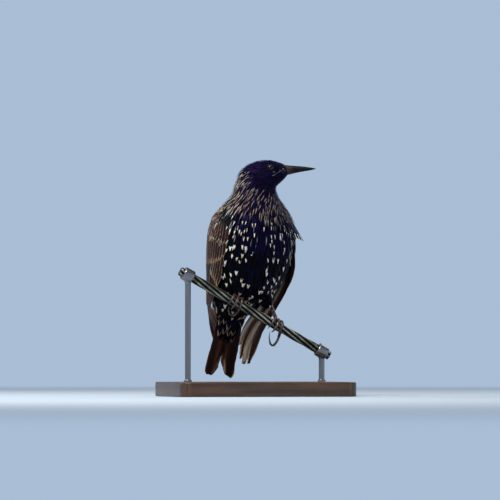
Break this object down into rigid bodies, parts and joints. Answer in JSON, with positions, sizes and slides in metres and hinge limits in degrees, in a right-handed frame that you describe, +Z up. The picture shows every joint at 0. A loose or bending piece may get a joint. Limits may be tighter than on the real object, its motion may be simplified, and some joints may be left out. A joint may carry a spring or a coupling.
{
  "type": "perched bird model",
  "caption": "Life-size still model of a starling in spotted winter plumage, perched on a cut length of stranded wire over a flat display base.",
  "frame": {"origin": "middle of the base's underside, on the floor", "axes": "+Z up. +X along the wire, seen from above, towards its lower end. The bird faces -Y, turned a little towards +X, and its bill points to +X"},
  "size_m": [0.15, 0.1027, 0.1962],
  "materials": {
    "plumage": "glossy black body feathers with a purple, blue and green sheen and pale tips",
    "flight_feathers": "dark brown wing and tail feathers with buff edges",
    "bill_horn": "dark horn, satin",
    "claw_horn": "dark horn, satin",
    "leg_skin": "scaly reddish-brown skin",
    "eye": "very dark brown, polished",
    "wire_metal": "weathered grey",
    "rod_steel": "satin",
    "base_wood": "oiled, satin"
  },
  "bodies": {
    "root": {"head": "plumage", "neck": "plumage", "torso": "plumage", "bill_upper": "bill_horn", "bill_lower": "bill_horn", "eye_right": "eye", "eye_left": "eye", "tail": "flight_feathers", "wing_right": "flight_feathers", "wing_left": "flight_feathers", "leg_right": "leg_skin", "claw_right_inner": "claw_horn", "claw_right_middle": "claw_horn", "claw_right_outer": "claw_horn", "claw_right_hind": "claw_horn", "leg_left": "leg_skin", "claw_left_inner": "claw_horn", "claw_left_middle": "claw_horn", "claw_left_outer": "claw_horn", "claw_left_hind": "claw_horn", "perch_core": "wire_metal", "perch_strand_1": "wire_metal", "perch_strand_2": "wire_metal", "perch_strand_3": "wire_metal", "perch_strand_4": "wire_metal", "perch_strand_5": "wire_metal", "perch_strand_6": "wire_metal", "stand_rod_upper": "rod_steel", "stand_rod_lower": "rod_steel", "stand_base": "base_wood"}
  },
  "joints": []
}
